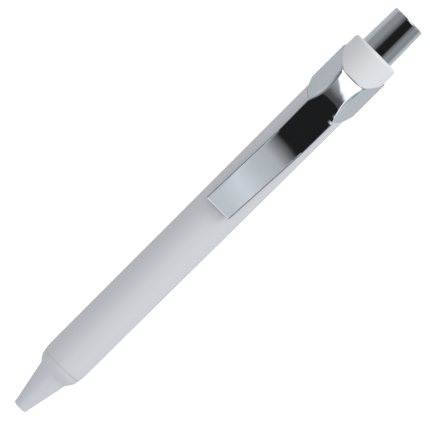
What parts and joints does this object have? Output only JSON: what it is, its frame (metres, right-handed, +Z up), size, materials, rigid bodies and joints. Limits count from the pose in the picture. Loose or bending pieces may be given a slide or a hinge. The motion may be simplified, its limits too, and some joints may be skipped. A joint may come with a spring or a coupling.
{
  "type": "retractable ballpoint pen",
  "caption": "Retractable ballpoint pen with a white barrel, tapered nose, hexagonal chrome collar with a wide spring clip, and a chrome push button.",
  "frame": {"origin": "centre of the bounding box in X and Y, at the level of the table that the pen lies on", "axes": "+X along the pen towards the push button, +Z up with the clip on top, +Y to the left of someone looking along +X"},
  "size_m": [0.14, 0.0148, 0.0163],
  "materials": {
    "white_plastic": "satin white injection-moulded plastic",
    "grey_plastic": "satin pale grey injection-moulded plastic",
    "chrome": "bright mirror chrome",
    "inner_plastic": "plain moulded acetal",
    "rotor_plastic": "plain moulded nylon",
    "spring_steel": "drawn steel wire",
    "point_metal": "turned nickel silver",
    "carbide": "ground carbide",
    "tube_plastic": "milky extruded polypropylene",
    "ink": "dark blue ink paste",
    "grease": "pale follower grease"
  },
  "bodies": {
    "pen_body": {"barrel": "white_plastic", "clip_collar": "chrome", "top_cap": "white_plastic", "guide_sleeve": "inner_plastic"},
    "clip": {"clip_blade": "chrome"},
    "button": {"push_button": "chrome", "plunger": "inner_plastic"},
    "refill": {"refill_point": "point_metal", "tip_holder": "tube_plastic", "refill_tube": "tube_plastic", "ink_column": "ink", "ink_follower": "grease"},
    "rotor": {"cam_rotor": "rotor_plastic"},
    "ball": {"writing_ball": "carbide"},
    "spring": {"return_spring": "spring_steel"},
    "nose": {"nose_cone": "grey_plastic"}
  },
  "joints": [
    {"name": "button_press", "type": "slide", "parent": "pen_body", "child": "button", "axis": [-1, 0, 0], "range_m": [0, 0.006], "stiffness_N_per_m": 300, "springref_m": -0.005},
    {"name": "refill_advance", "type": "slide", "parent": "pen_body", "child": "refill", "axis": [-1, 0, 0], "range_m": [0, 0.006], "deforming": ["return_spring"]},
    {"name": "rotor_turn", "type": "hinge", "parent": "refill", "child": "rotor", "pos_m": [0.037, 0, 0.00693], "axis": [1, 0, 0], "range_deg": [0, 60]},
    {"name": "ball_roll", "type": "hinge", "parent": "refill", "child": "ball", "pos_m": [-0.0681, 0, 0.00693], "axis": [0, 1, 0], "continuous": true},
    {"name": "clip_flex", "type": "hinge", "parent": "pen_body", "child": "clip", "pos_m": [0.037, 0, 0.01503], "axis": [0, 1, 0], "range_deg": [-0.5, 5], "stiffness_Nm_per_rad": 0.8},
    {"name": "nose_draw", "type": "slide", "parent": "pen_body", "child": "spring", "axis": [-1, 0, 0], "range_m": [0, 0.006]},
    {"name": "nose_spin", "type": "hinge", "parent": "spring", "child": "nose", "pos_m": [-0.055, 0, 0.00693], "axis": [-1, 0, 0], "range_deg": [0, 1440]}
  ],
  "couplings": [
    {"joint": "refill_advance", "follows": "button_press", "ratio": 1},
    {"joint": "rotor_turn", "follows": "button_press", "rad_per_m": 174.5},
    {"joint": "nose_spin", "follows": "nose_draw", "rad_per_m": 4188.8}
  ]
}
